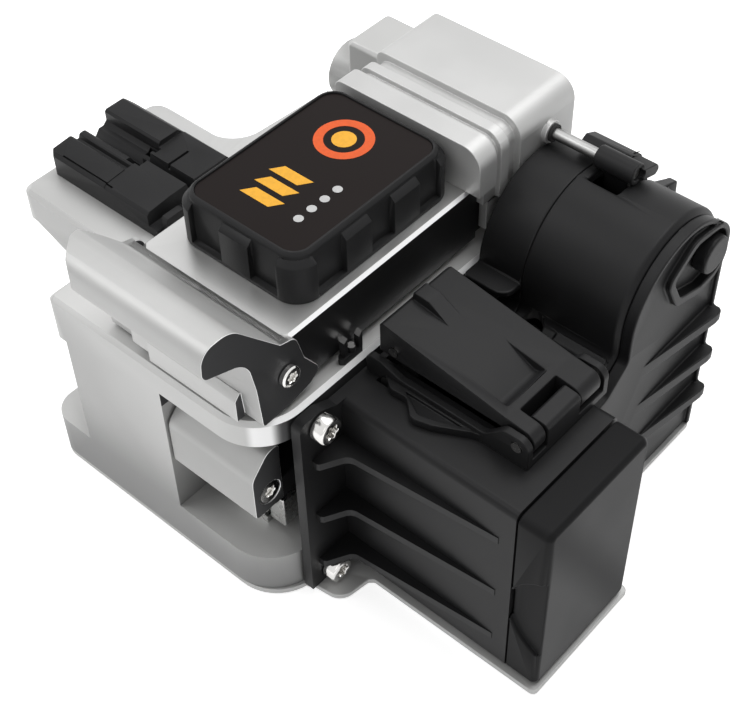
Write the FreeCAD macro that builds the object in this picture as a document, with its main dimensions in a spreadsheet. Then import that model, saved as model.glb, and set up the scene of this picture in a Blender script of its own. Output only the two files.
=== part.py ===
import FreeCAD, Part
import math
import os
import re
import Sketcher

# Fibre cleaver: a bench-top assembly in millimetres.
# X runs along the fibre, Y from the finger side to the hinge, Z up.
# The origin is the middle of the footprint at the height of the feet.

SIZES = [
    ("foot_top", 0.9),
    ("plate_low", 0.3),
    ("plate_high", 1.3),
    ("floor_top", 9.6),
    ("deck_low", 36.0),
    ("window_top", 36.9),
    ("deck_top", 41.8),
    ("front_face", -37.25),
    ("base_left", -39.3),
    ("rear_face", 38.2),
    ("frame_right", 13.9),
    ("window_left", -7.15),
    ("cavity_rear", 12.0),
    ("lever_low", 43.4),
    ("lever_top", 54.0),
    ("lever_left", -17.85),
    ("lever_right", 11.5),
    ("cover_right", 13.8),
    ("cap_top", 62.5),
    ("axis_y", 32.0),
    ("axis_z", 45.5),
    ("axle_radius", 1.5),
    ("latch_y", -29.6),
    ("latch_z", 49.0),
    ("latch_barrel", 3.7),
    ("wheel_radius", 9.0),
    ("wheel_y", -20.0),
    ("wheel_z", 33.3),
    ("rod_y", 28.0),
    ("rod_z", "=drum_z + drum_radius + 1.6"),
    ("cover_top", "=rod_z + 5.6"),
    ("rod_radius", 0.95),
    ("drum_y", 24.6),
    ("drum_z", 41.8),
    ("drum_radius", 13.5),
    ("housing_left", 14.2),
    ("housing_seam", 22.5),
    ("cover_left", 40.3),
    ("housing_right", 41.5),
    ("housing_wall", 1.6),
    ("roller_x", 18.6),
    ("roller_z", 39.2),
    ("roller_radius", 3.0),
    ("nip_z", 44.7),
    ("nip_radius", 2.2),
    ("hinge_x", 42.0),
    ("hinge_z", 43.1),
    ("flap_front", -14.1),
    ("flap_back", 1.4),
    ("bin_left", 16.0),
    ("bin_seam", 47.7),
    ("bin_right", 53.5),
    ("bin_front", -22.6),
    ("bin_back", 0.9),
    ("bin_top", 39.6),
    ("bin_low", 1.4),
    ("bin_wall", 1.5),
    ("flange_left", 14.2),
    ("smallest_arc", 0.85),
    ("shift_x", 0.15),
    ("shift_y", 3.0),
]

doc = FreeCAD.newDocument("fibre_cleaver")
sheet = doc.addObject("Spreadsheet::Sheet", "Sizes")
for row, (alias, value) in enumerate(SIZES, start=1):
    sheet.set("A%d" % row, alias)
    sheet.set("B%d" % row, str(value))
    sheet.setAlias("B%d" % row, alias)
doc.recompute()

V = FreeCAD.Vector
made = []


def size(alias):
    return float(sheet.get(alias))


def formula(text):
    """Turn 'deck_top - deck_low' into an expression on the sheet."""
    return re.sub(r"[a-z]\w*", lambda m: "Sizes." + m.group(0), text)


def number(value):
    """A plain number, or the value of a formula on the sheet."""
    if not isinstance(value, str):
        return float(value)
    total = 0.0
    sign = 1.0
    for word in value.split():
        if word in "+-":
            sign = 1.0 if word == "+" else -1.0
        elif re.match(r"[a-z]", word):
            total += sign * size(word)
        else:
            total += sign * float(word)
    return total


def add_arc(sketch, centre, radius, start, end):
    circle = Part.Circle(V(centre[0], centre[1], 0), V(0, 0, 1), radius)
    sketch.addGeometry(Part.ArcOfCircle(circle, start, end), False)


def add_loop(sketch, corners):
    """Close a run of corners (x, y) or (x, y, rounding); a small rounding is a flat corner break."""
    count = len(corners)
    smallest = size("smallest_arc")
    joints = []
    for i in range(count):
        here = V(corners[i][0], corners[i][1], 0)
        before = V(corners[i - 1][0], corners[i - 1][1], 0)
        after = V(corners[(i + 1) % count][0], corners[(i + 1) % count][1], 0)
        radius = corners[i][2] if len(corners[i]) > 2 else 0
        if radius <= 0:
            joints.append((here, here))
            continue
        back = (before - here).normalize()
        ahead = (after - here).normalize()
        half = back.getAngle(ahead) / 2
        reach = radius / math.tan(half)
        enter = here + back * reach
        leave = here + ahead * reach
        bisector = (back + ahead).normalize()
        centre = here + bisector * (radius / math.sin(half))
        joints.append((enter, leave))
        if radius < smallest:
            sketch.addGeometry(Part.LineSegment(enter, leave), False)
            continue
        first = math.atan2(enter.y - centre.y, enter.x - centre.x)
        last = math.atan2(leave.y - centre.y, leave.x - centre.x)
        if back.cross(ahead).z > 0:
            first, last = last, first
        if last < first:
            last += 2 * math.pi
        add_arc(sketch, (centre.x, centre.y), radius, first, last)
    for i in range(count):
        start = joints[i][1]
        end = joints[(i + 1) % count][0]
        if (end - start).Length > 1e-6:
            sketch.addGeometry(Part.LineSegment(start, end), False)


def rect(x0, y0, x1, y1, rounding=0):
    return [(x0, y0, rounding), (x1, y0, rounding), (x1, y1, rounding), (x0, y1, rounding)]


class Piece:
    """One PartDesign body, built from sketches on planes square to the axes."""

    def __init__(self, name):
        self.body = doc.addObject("PartDesign::Body", name)
        self.body.Label = name
        if hasattr(self.body, "AllowCompound"):
            self.body.AllowCompound = True
        self.count = 0
        made.append(self.body)

    def sketch(self, plane, level, loops):
        self.count += 1
        item = self.body.newObject("Sketcher::SketchObject", "%s_sketch%d" % (self.body.Name, self.count))
        role = {"Z": "XY_Plane", "Y": "XZ_Plane", "X": "YZ_Plane"}[plane]
        origin = [f for f in self.body.Origin.OriginFeatures if f.Role == role][0]
        item.AttachmentSupport = [(origin, "")]
        item.MapMode = "FlatFace"
        sign = -1.0 if plane == "Y" else 1.0
        item.AttachmentOffset = FreeCAD.Placement(V(0, 0, sign * number(level)), FreeCAD.Rotation())
        if isinstance(level, str):
            text = formula(level)
            item.setExpression("AttachmentOffset.Base.z", "-(%s)" % text if plane == "Y" else text)
        for loop in loops:
            if len(loop) == 3 and not isinstance(loop[0], tuple):
                item.addGeometry(Part.Circle(V(loop[0], loop[1], 0), V(0, 0, 1), loop[2]), False)
            else:
                add_loop(item, loop)
        return item

    def pad(self, plane, low, high, *loops):
        """Material between two levels along the plane's axis."""
        sketch = self.sketch(plane, low if plane != "Y" else high, loops)
        pad = self.body.newObject("PartDesign::Pad", "%s_pad%d" % (self.body.Name, self.count))
        pad.Profile = sketch
        self.span(pad, low, high)
        return self

    def pocket(self, plane, low, high, *loops):
        """A cut between two levels along the plane's axis."""
        sketch = self.sketch(plane, high if plane != "Y" else low, loops)
        cut = self.body.newObject("PartDesign::Pocket", "%s_cut%d" % (self.body.Name, self.count))
        cut.Profile = sketch
        self.span(cut, low, high)
        return self

    def span(self, feature, low, high):
        if isinstance(low, str) or isinstance(high, str):
            low_text = low if isinstance(low, str) else None
            high_text = high if isinstance(high, str) else None
            upper = formula(high_text) if high_text else repr(float(high))
            lower = formula(low_text) if low_text else repr(float(low))
            feature.setExpression("Length", "%s - (%s)" % (upper, lower))
        else:
            feature.Length = high - low

    def dress(self, kind, amount, test):
        """Fillet or chamfer the edges that pass a test on their middle point."""
        doc.recompute()
        base = self.body.Tip
        names = []
        for i, edge in enumerate(base.Shape.Edges, start=1):
            middle = edge.valueAt((edge.FirstParameter + edge.LastParameter) / 2)
            if test(edge, middle):
                names.append("Edge%d" % i)
        if not names:
            raise RuntimeError("no edge picked on " + self.body.Name)
        item = self.body.newObject("PartDesign::" + kind, "%s_%s%d" % (self.body.Name, kind.lower(), len(names)))
        item.Base = (base, names)
        if kind == "Fillet":
            item.Radius = amount
        else:
            item.Size = amount
        return self


def near(value, target, slack=0.02):
    return abs(value - target) < slack


def straight(edge):
    return edge.Curve.TypeId == "Part::GeomLine"


def solid_node(name, shapes):
    """Separate solids that share a node, such as a set of like screws or a coil."""
    item = doc.addObject("Part::Feature", name)
    item.Label = name
    item.Shape = shapes[0] if len(shapes) == 1 else Part.makeCompound(shapes)
    made.append(item)
    return item


def prism(at, axis, radius, length, sides=12):
    """A many-sided stand-in for a small cylinder, which keeps the facets few."""
    along = V(*axis)
    side = V(0, 0, 1) if abs(along.z) < 0.5 else V(1, 0, 0)
    across = along.cross(side)
    step = 2 * math.pi / sides
    corners = [V(*at) + side * (radius * math.cos(i * step)) + across * (radius * math.sin(i * step))
               for i in range(sides)]
    return Part.Face(Part.makePolygon(corners + corners[:1])).extrude(along * length)


def ring(x, y, radius, sides=10):
    """A many-sided outline that a circle of this radius just fits in."""
    step = 2 * math.pi / sides
    reach = radius / math.cos(step / 2)
    return [(x + reach * math.cos(i * step), y + reach * math.sin(i * step)) for i in range(sides)]


def screw(at, axis, head_radius, head_high, shank_radius, shank_long, socket, sides=12):
    """A cap screw: 'at' is under the head, 'axis' points out of the head."""
    along = V(*axis)
    point = V(*at)
    head = prism(at, axis, head_radius, head_high, sides)
    shank = prism(at, along * -1, shank_radius, shank_long, 8)
    body = head.fuse(shank)
    if socket:
        body = body.cut(prism(point + along * (head_high * 0.4), axis, socket, head_high, 6))
    return body


def flat_screw(at, axis, head_radius, shank_radius, shank_long, socket):
    """A countersunk screw: 'at' is the middle of its flat face."""
    along = V(*axis)
    point = V(*at)
    sink = head_radius - shank_radius
    side = V(0, 0, 1) if abs(along.z) < 0.5 else V(1, 0, 0)
    across = along.cross(side)
    wires = []
    for radius, depth in ((head_radius, 0.0), (shank_radius, sink)):
        turns = [i * math.pi / 8 for i in range(17)]
        wires.append(Part.makePolygon([point - along * depth + side * (radius * math.cos(turn))
                                       + across * (radius * math.sin(turn)) for turn in turns]))
    head = Part.makeLoft(wires, True, True)
    shank = prism(at, along * -1, shank_radius, shank_long, 8)
    return head.fuse(shank).cut(prism(point - along * (sink * 0.7), axis, socket, sink, 6))


def coil(start, axis, radius, pitch, height, wire):
    """A coil spring of square wire: 'start' is the first turn's centre."""
    along = V(*axis)
    side = V(0, 0, 1) if abs(along.z) < 0.5 else V(1, 0, 0)
    up = along.cross(side)
    steps = int(round(height / pitch * 8))
    rings = []
    for i in range(steps + 1):
        angle = i * math.pi / 4
        out = side * math.cos(angle) + up * math.sin(angle)
        middle = V(*start) + out * radius + along * (height * i / steps)
        rings.append([middle + out * a * wire + along * b * wire for a, b in [(1, 1), (-1, 1), (-1, -1), (1, -1)]])
    faces = [Part.Face(Part.makePolygon(ring + ring[:1])) for ring in (rings[0], rings[-1])]
    for first, second in zip(rings, rings[1:]):
        for k in range(4):
            j = (k + 1) % 4
            faces.append(Part.Face(Part.makePolygon([first[k], first[j], second[j], first[k]])))
            faces.append(Part.Face(Part.makePolygon([first[k], second[j], second[k], first[k]])))
    body = Part.Solid(Part.makeShell(faces))
    if body.Volume < 0:
        body.reverse()
    return body


def screw_places():
    return {
        "flange": [(16.0, -27.3, 38.6), (16.0, -26.8, 3.9)],
        "plate": [(-33.0, -31.0), (8.0, -31.0), (-33.0, 32.0), (8.0, 32.0)],
        "rail": [(2.5, -20.0), (2.5, 4.0)],
        "adapter": [(-46.0, -13.5), (-34.0, -3.5)],
        "cover": [(-10.6, 18.5), (8.4, 18.5)],
    }


def make_base_frame():
    piece = Piece("base_frame")
    front = size("front_face")
    rear = size("rear_face")
    right = size("frame_right")
    left_wall = -29.0
    window = size("window_left")
    base_left = size("base_left")
    floor = [(base_left, front, 4.5), (right, front, 8.5), (right, rear, 2), (base_left, rear, 4.5)]
    piece.pad("Z", "plate_high", "floor_top", floor)
    walls = [(left_wall, front), (window, front), (window, size("cavity_rear"))]
    walls += [(right, size("cavity_rear")), (right, rear, 2), (left_wall, rear, 2)]
    piece.pad("Z", "floor_top", "window_top", walls)
    deck = [(-31.5, front, 1.2), (right, front, 8.5), (right, 20.0), (-15.4, 20.0), (-15.4, 26.2)]
    deck += [(-33.8, 26.2, 1.5), (-35.2, 7.1, 5.5), (-54.3, 7.1, 3), (-54.3, -23.6, 2.2), (-31.5, -23.6)]
    piece.pad("Z", "deck_low", "deck_top", deck)
    piece.pad("Z", 33.1, 36.1, [(-31.5, front, 1.2), (-28.0, front), (-28.0, -20.0), (-31.5, -20.0)])
    gusset = [(-51.9, 36.2), (-28.0, 36.2), (-28.0, 25.6)]
    piece.pad("Y", -23.6, 7.1, gusset)
    piece.pocket("Z", "floor_top", "window_top", [(window, front - 1), (right + 1, front - 1),
                 (right + 1, size("cavity_rear")), (window, size("cavity_rear"))])
    piece.pocket("Z", 36.0, 42.5, rect(-4.9, -29.6, -2.1, 3.4, 1.3))
    piece.pocket("Z", 39.6, 42.5, rect(-12.1, -12.1, -6.9, -3.9, 0.5))
    piece.pocket("Z", 39.6, 42.5, rect(0.9, -12.1, 6.1, -3.9, 0.5))
    piece.pocket("Z", 39.8, 42.5, ring(-12.0, -21.0, 2.55, 16))
    for x, y, z in screw_places()["flange"]:
        piece.pocket("X", 6.5, 15.0, ring(y, z, 1.28))
    for x, y in screw_places()["plate"]:
        piece.pocket("Z", 0.0, 8.0, ring(x, y, 1.03))
    for x, y in screw_places()["rail"]:
        piece.pocket("Z", 3.0, 10.0, ring(x, y, 0.78))
    for x, y in screw_places()["adapter"]:
        piece.pocket("Z", 20.0, 42.5, ring(x, y, 0.83))
        piece.pocket("Z", 20.0, 38.0, ring(x, y, 1.7))
    top = size("deck_top")
    piece.dress("Chamfer", 0.7, lambda e, m: near(m.z, top) and (m.x < -31 or m.y < front + 9 or m.x > 13.5)
                and not (m.x > -13 and m.x < 7 and m.y > -31 and m.y < 4) and m.y < 25.9
                and not (m.x < -30 and m.x > -50 and m.y > -20 and m.y < 0))
    return piece


def make_bottom_plate():
    piece = Piece("bottom_plate")
    left = size("base_left")
    front = size("front_face")
    outline = [(left, front, 4.5), (13.9, front, 8.5), (14.4, -30.5, 0.8), (20.6, -29.8, 3), (21.5, -23.5, 0.8)]
    outline += [(54.0, -23.3, 1), (54.0, 1.5, 1), (42.2, 1.5, 0.8), (42.2, 38.2, 2), (left, 38.2, 4.5)]
    piece.pad("Z", "plate_low", "plate_high", outline)
    for x, y in foot_places():
        piece.pocket("Z", -1.0, 0.9, ring(x, y, 4.2, 16))
    for x, y in screw_places()["plate"]:
        piece.pocket("Z", 0.0, 2.0, ring(x, y, 1.95))
    return piece


def foot_places():
    return [(-24.0, -30.0), (47.0, -17.0), (-24.0, 31.0), (36.0, 31.0)]


def make_feet():
    pads = [prism((x, y, 0), (0, 0, 1), 4.1, size("foot_top"), 16) for x, y in foot_places()]
    solid_node("rubber_feet", pads)


def make_plate_screws():
    items = []
    for x, y in screw_places()["plate"]:
        items.append(screw((x, y, 1.2), (0, 0, -1), 1.9, 0.8, 1.0, 6.2, 0.8))
    solid_node("bottom_plate_screws", items)


def make_deck_pieces():
    keeper = Piece("magnet_keeper")
    keeper.pad("Z", 39.85, 41.75, ring(-12.0, -21.0, 2.45, 16))
    for name, x0 in (("lower_clamp_left", -12.0), ("lower_clamp_right", 1.0)):
        pad = Piece(name)
        pad.pad("Z", 39.65, 42.2, rect(x0, -12.0, x0 + 5.0, -4.0, 0.4))
        pad.pocket("X", x0 - 1, x0 + 6, [(-8.25, 42.5), (-8.0, 42.05), (-7.75, 42.5)])
    guide = Piece("tail_guide")
    guide.pad("Z", "deck_top", 43.0, rect(11.8, -19.0, 13.15, -14.2, 0.5))
    guide.pad("X", 11.9, 12.9, [(-18.3, 42.9), (-17.5, 42.9), (-17.5, 46.4), (-18.3, 45.9)])
    guide.pad("X", 12.1, 13.1, [(-15.3, 42.9), (-14.6, 42.9), (-14.6, 46.0), (-15.3, 45.2)])
    guide.pad("Z", 42.9, 44.0, ring(12.5, -16.4, 0.65))


def make_slide():
    rail = Piece("slide_rail")
    rail.pad("Z", "floor_top", 13.6, rect(-1.0, -30.5, 6.0, 11.2))
    rail.pocket("X", -1.5, -0.4, rect(-40, 11.2, 20, 12.4))
    rail.pocket("X", 5.4, 6.5, rect(-40, 11.2, 20, 12.4))
    for x, y in screw_places()["rail"]:
        rail.pocket("Z", 9.0, 14.0, ring(x, y, 0.82))
        rail.pocket("Z", 12.2, 14.0, ring(x, y, 1.55))
    items = []
    for x, y in screw_places()["rail"]:
        items.append(screw((x, y, 12.2), (0, 0, 1), 1.5, 1.1, 0.75, 8.0, 0.7))
    solid_node("rail_screws", items)
    block = Piece("slide_block")
    block.pad("Z", 11.0, 17.6, rect(-4.5, -30.0, 9.5, -13.0))
    block.pocket("Z", 10.0, 13.75, rect(-1.15, -31.0, 6.15, -12.0))
    carriage = Piece("blade_carriage")
    carriage.pad("Z", 17.6, 22.5, rect(-5.5, -31.0, 9.0, -8.0))
    carriage.pad("Z", 22.5, 30.0, rect(-1.6, -27.0, 1.8, -13.0))
    carriage.pad("X", -1.6, 1.8, [(-25.0, 29.0), (-15.0, 29.0), (-17.0, 36.1, 1.5), (-23.0, 36.1, 1.5)])
    carriage.pad("X", -2.6, -1.5, ring(size("wheel_y"), size("wheel_z"), 2.4, 16))
    carriage.pocket("X", -3.0, 2.5, ring(size("wheel_y"), size("wheel_z"), 1.03))
    wheel = Piece("blade_wheel")
    rim = size("wheel_radius") * math.cos(math.pi / 40)
    wheel.pad("X", -4.05, -2.95, ring(size("wheel_y"), size("wheel_z"), rim, 40),
              (size("wheel_y"), size("wheel_z"), 1.08))
    wheel.dress("Chamfer", 0.53, lambda e, m: math.hypot(m.y - size("wheel_y"), m.z - size("wheel_z")) > 5
                and (near(m.x, -4.05) or near(m.x, -2.95)))
    pin = screw((-4.15, size("wheel_y"), size("wheel_z")), (-1, 0, 0), 2.2, 0.9, 0.98, 5.4, 0.9)
    solid_node("blade_axle_screw", [pin])
    bar = Piece("push_bar")
    profile = [(-36.9, 21.2, 0.4), (-31.0, 21.2), (-31.0, 33.8, 0.5), (-33.4, 33.8, 2.5), (-36.9, 30.2, 2.5)]
    bar.pad("X", "window_left + 0.3", 11.0, profile)
    bar.pocket("X", 1.0, 12.0, ring(-33.6, 24.9, 1.03))
    bar.pocket("X", 9.9, 12.0, ring(-33.6, 24.9, 2.1, 20))
    bar.pad("X", -5.5, 9.0, [(-31.4, 17.7), (-31.05, 17.7), (-31.05, 22.0), (-31.4, 22.0)])
    bar_screw = flat_screw((10.9, -33.6, 24.9), (1, 0, 0), 1.95, 1.0, 8.0, 0.85)
    solid_node("push_bar_screw", [bar_screw])
    spring = coil((3.0, -7.65, 20.2), (0, 1, 0), 2.1, 2.4, 19.3, 0.3)
    solid_node("carriage_spring", [spring])


def make_hinge():
    y = size("axis_y")
    z = size("axis_z")
    bracket = Piece("hinge_bracket")
    bracket.pad("Z", "window_top", 56.0, rect(-26.5, 26.4, -15.9, 36.9, 0.6))
    bracket.pad("X", -31.5, -26.4, ring(y, z, 5.2, 24))
    bracket.pocket("X", -30.0, -15.0, ring(y, z, 1.52, 16))
    bracket.dress("Chamfer", 0.6, lambda e, m: near(m.z, 56.0))
    post = Piece("hinge_post")
    post.pad("X", -3.0, 2.0, [(y - 3.3, 36.9), (y + 3.3, 36.9), (y + 3.3, z + 3.3, 3.2), (y - 3.3, z + 3.3, 3.2)])
    post.pocket("X", -4.0, 3.0, ring(y, z, 1.52, 16))
    axle = Piece("lever_axle")
    axle.pad("X", -29.8, 12.2, (y, z, size("axle_radius")))
    spring = coil((-7.75, y, z), (1, 0, 0), 2.3, 0.95, 4.3, 0.35)
    solid_node("lever_spring", [spring])


def make_adapter():
    piece = Piece("fibre_adapter")
    top = size("deck_top")
    body = [(-17.5, top), (0.6, top), (0.6, 45.8), (-1.0, 47.4, 0.4), (-5.2, 47.4, 0.4), (-5.2, 45.3)]
    body += [(-6.0, 44.6), (-7.0, 44.6), (-8.0, 43.4), (-9.0, 44.6), (-9.8, 46.0, 0.3), (-11.0, 46.0, 0.3)]
    body += [(-11.3, 45.2), (-12.2, 45.2), (-12.6, 46.6, 0.4), (-17.5, 46.2, 0.6)]
    piece.pad("X", -52.9, -39.6, body)
    nose = [(-17.5, top), (0.6, top), (0.6, 46.4, 0.5), (-7.2, 46.4), (-7.6, 44.2), (-8.0, 43.4)]
    nose += [(-8.4, 44.2), (-8.8, 46.4), (-12.6, 46.4), (-17.5, 46.0, 0.6)]
    piece.pad("X", -39.7, -29.4, nose)
    block = [(-16.2, top), (-12.4, top), (-12.4, 45.6, 0.3), (-16.2, 45.6, 0.3)]
    piece.pad("X", -27.6, -26.3, block)
    piece.pad("X", -29.5, -27.5, [(-17.5, top), (-9.6, top), (-9.6, 43.4), (-17.5, 43.4)])
    piece.pocket("Z", 45.4, 48.0, rect(-35.4, -8.7, -34.9, -2.9), rect(-50.2, -16.9, -38.2, -16.6))
    piece.pocket("Z", 42.4, 48.0, rect(-41.8, -10.6, -38.6, -8.9), rect(-41.8, -6.6, -39.0, -5.3))
    piece.dress("Chamfer", 0.9, lambda e, m: straight(e) and near(m.x, -52.9) and abs(m.z - 44.0) < 1.5
                and (near(m.y, -17.5) or near(m.y, 0.6)))
    items = []
    for x, y in screw_places()["adapter"]:
        piece.pocket("Z", 41.0, 44.3, ring(x, y, 0.83))
        items.append(screw((x, y, 37.98), (0, 0, -1), 1.5, 1.2, 0.8, 6.0, 0.7))
    solid_node("adapter_screws", items)


def cap_screw_places():
    return [(-9.0, -16.0), (4.0, -16.0), (-9.0, 4.5), (4.0, 4.5)]


def arch(inset, side, low):
    """The rear cover's outline across the fibre, as a run of corners (x, z)."""
    right = size("cover_right") - inset
    top = size("cover_top") - inset
    return [(-15.0 + inset, low), (right, low), (right, top, side), (-15.0 + inset, top, 1.6)]


def make_lever_plate():
    y = size("axis_y")
    z = size("axis_z")
    left = size("lever_left")
    right = size("lever_right")
    piece = Piece("lever_plate")
    piece.pad("Z", "lever_low", "lever_top", [(left, -28.3, 0.8), (right, -28.3, 0.8), (right, 13.6), (left, 13.6)])
    piece.pad("X", "lever_left", "lever_right", (size("latch_y"), size("latch_z"), size("latch_barrel")))
    arm = [(13.5, 43.4), (y - 4.3, 43.4), (y, z - 4.3, 3.0), (y + 4.3, z, 3.8), (y, z + 4.5, 3.0), (13.5, 50.0)]
    piece.pad("X", -12.9, -8.2, arm)
    piece.pad("X", 6.2, 10.7, arm)
    for x, yy in screw_places()["cover"]:
        piece.pocket("Z", 40.0, 51.0, ring(x, yy, 0.83))
        piece.pocket("Z", 40.0, 45.0, ring(x, yy, 1.6))
    piece.pocket("X", -18.5, 12.0, ring(y, z, 1.53, 16))
    piece.pocket("X", -18.5, 12.0, ring(size("latch_y"), size("latch_z"), 0.83))
    piece.pocket("Z", 42.0, 49.4, rect(-5.3, -14.2, -1.7, -1.8, 0.4))
    piece.pocket("Z", 42.0, 45.5, ring(-12.0, -21.0, 2.55, 16))
    piece.pocket("Z", 42.0, 45.9, rect(-12.1, -12.1, -6.9, -3.9))
    piece.pocket("Z", 42.0, 45.9, rect(0.9, -12.1, 6.1, -3.9))
    for x, yy in cap_screw_places():
        piece.pocket("Z", 42.0, 55.0, ring(x, yy, 0.83))
        piece.pocket("Z", 42.0, 46.0, ring(x, yy, 1.6))
    piece.dress("Chamfer", 0.5, lambda e, m: near(m.z, 54.0) and straight(e) and m.y < 13.5
                and (m.x < left + 1 or m.x > right - 1))


def make_rear_cover():
    y = size("axis_y")
    z = size("axis_z")
    right = size("cover_right")
    cover = Piece("rear_cover")
    cover.pad("Y", 13.8, 34.5, arch(1.2, 2.6, 50.4))
    cover.pad("Y", 11.2, 15.3, arch(0.0, 3.5, 54.05))
    cover.pad("Y", 16.8, 18.8, arch(0.4, 3.2, 50.4))
    cover.pad("Y", 21.0, 34.7, arch(0.0, 3.7, 50.4))
    cheek = [(15.0, 44.5), (y - 4.5, 44.5), (y - 2.4, z - 5.4, 2), (34.7, z - 5.4, 2), (34.7, 51.0), (15.0, 51.0)]
    cover.pad("X", -15.0, -13.2, cheek)
    cover.pad("X", 10.9, 12.5, cheek)
    cover.pocket("Z", 40.0, "cover_top - 1.9", rect(-13.1, 14.3, 10.8, 32.9))
    for x, yy in screw_places()["cover"]:
        cover.pad("Z", 50.05, "cover_top - 1.7", ring(x, yy, 1.9, 16))
        cover.pocket("Z", 50.0, "cover_top - 4.5", ring(x, yy, 0.83))
    cover.pocket("X", -16.0, 13.0, ring(y, z, 1.53, 16))
    cover.pad("X", right - 0.4, right + 0.9, ring(size("rod_y"), size("rod_z"), 1.9, 20))
    cover.pocket("X", 9.0, right + 1.5, ring(size("rod_y"), size("rod_z"), 0.97, 16))


def make_cap():
    """The finger cap: a chamfered rim over a row of gripping lugs."""
    top = size("cap_top")
    lug_top = top - 1.0
    outer = rect(-15.4, -23.4, 9.6, 10.9, 4.2)
    core = rect(-14.4, -22.4, 8.6, 10.0, 3.4)
    cap = Piece("press_cap")
    cap.pad("Z", "lever_top", lug_top, outer)
    cap.dress("Chamfer", 0.95, lambda e, m: near(m.z, lug_top))
    side_gaps = [(-19.3, -13.4), (-8.0, -3.1), (2.5, 7.3)]
    front_gaps = [(-11.7, -5.6), (0.1, 5.4)]
    for y0, y1 in side_gaps:
        cap.pocket("Z", "lever_top + 0.7", lug_top + 1, rect(8.6, y0, 11.0, y1), rect(-17.0, y0, -14.4, y1))
    for x0, x1 in front_gaps:
        cap.pocket("Z", "lever_top + 0.7", lug_top + 1, rect(x0, -25.0, x1, -22.4), rect(x0, 10.0, x1, 12.0))
    cap.pad("Z", "lever_top", "cap_top", core)
    cap.dress("Chamfer", 0.5, lambda e, m: near(m.z, top))
    cap.pocket("Z", "cap_top - 0.7", top + 0.5, rect(-13.6, -21.6, 7.8, 9.2, 2.6))
    for x, y in cap_screw_places():
        cap.pocket("Z", 53.0, "cap_top - 3.5", ring(x, y, 0.83))
    badge = Piece("cap_badge")
    badge.pad("Z", "cap_top - 0.7", "cap_top - 0.25", rect(-13.5, -21.5, 7.7, 9.1, 2.5))


def make_lever():
    make_lever_plate()
    make_rear_cover()
    make_cap()
    reach = size("cap_top") - 4.0 - 46.0
    items = [screw((x, y, 46.0), (0, 0, -1), 1.5, 1.3, 0.8, reach, 0.7) for x, y in cap_screw_places()]
    solid_node("cap_screws", items)
    reach = size("cover_top") - 6.0 - 45.0
    items = [screw((x, y, 45.0), (0, 0, -1), 1.5, 1.3, 0.8, reach, 0.7) for x, y in screw_places()["cover"]]
    solid_node("cover_screws", items)
    for name, x0 in (("upper_clamp_left", -12.0), ("upper_clamp_right", 1.0)):
        pad = Piece(name)
        pad.pad("Z", 42.45, 45.85, rect(x0, -12.0, x0 + 5.0, -4.0, 0.4))
    magnet = Piece("closing_magnet")
    magnet.pad("Z", 43.5, 45.45, ring(-12.0, -21.0, 2.45, 16))
    anvil = Piece("anvil")
    anvil.pad("Z", 43.6, 47.6, rect(-5.2, -14.1, -1.8, -1.9, 0.3))
    anvil.pad("Z", 42.9, 43.7, rect(-4.0, -12.5, -3.0, -3.5))
    spring = coil((-3.5, -8.0, 47.78), (0, 0, 1), 1.1, 0.7, 1.4, 0.15)
    solid_node("anvil_spring", [spring])
    rod = Piece("drive_rod")
    rod.pad("X", 9.2, 29.9, (size("rod_y"), size("rod_z"), size("rod_radius")))
    seal = Piece("rod_seal")
    low = size("cover_right") + 0.92
    seal.pad("X", low, low + 0.5, ring(size("rod_y"), size("rod_z"), 1.45, 20),
             ring(size("rod_y"), size("rod_z"), 0.97, 16))


def make_latch():
    y = size("latch_y")
    z = size("latch_z")
    room = size("latch_barrel") + 0.3
    piece = Piece("latch_lip")
    outline = [(-34.9, 42.3, 0.4), (-35.5, 50.5, 5), (-36.6, 56.9, 4.6), (-44.4, 59.8, 1.6), (-44.1, 64.6, 2.6)]
    outline += [(-38.7, 64.8, 4.4), (-30.3, 55.3, 0.8), (-27.4, 54.6, 2.2), (-26.0, 49.4, 1.5), (-23.0, 45.0, 1.2)]
    outline += [(-25.2, 43.4, 0.8), (-30.0, 42.3, 2.0)]
    piece.pad("X", -19.1, 12.7, outline)
    piece.pad("X", -9.0, 9.1, [(-36.5, 42.15), (-34.95, 42.15), (-34.95, 47.4), (-35.5, 47.4), (-36.5, 46.3, 0.4)])
    piece.pad("X", -12.7, -9.25, [(-36.2, 43.5), (-34.95, 43.5), (-34.95, 47.4), (-35.4, 47.4), (-36.2, 46.6)])
    behind = [(-30.0, 40.0), (-18.0, 40.0), (-18.0, 57.0), (-30.0, 57.0)]
    piece.pocket("X", -18.05, 11.7, behind)
    piece.pocket("X", -18.05, 11.7, ring(y, z, room, 20))
    piece.pocket("X", -20.0, 13.0, ring(y, z, 0.87))
    corner = [(-19.8, -45.0), (-11.5, -45.0), (-14.2, -43.2), (-16.9, -40.0), (-18.5, -36.4), (-19.3, -32.5)]
    corner += [(-19.8, -32.5)]
    piece.pocket("Z", 41.0, 66.0, corner)
    items = [screw((12.75, y, z), (1, 0, 0), 1.75, 1.0, 0.8, 6.0, 0.9),
             screw((-19.15, y, z), (-1, 0, 0), 1.75, 1.0, 0.8, 6.0, 0.9)]
    solid_node("latch_screws", items)


def drum_outline(inset, low):
    y0 = size("drum_y") - size("drum_radius")
    y1 = size("drum_y") + size("drum_radius")
    top = size("drum_z") + size("drum_radius")
    radius = size("drum_radius") - inset - 0.02
    return [(2.2 + inset, low), (y1 - inset, low), (y1 - inset, top - inset, radius), (y0 + inset, top - inset, radius),
            (y0 + inset, 37.4, 2.0), (6.4 + inset, 34.2 - inset, 2.0), (2.2 + inset, 33.2 - inset, 1.0)]


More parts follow.
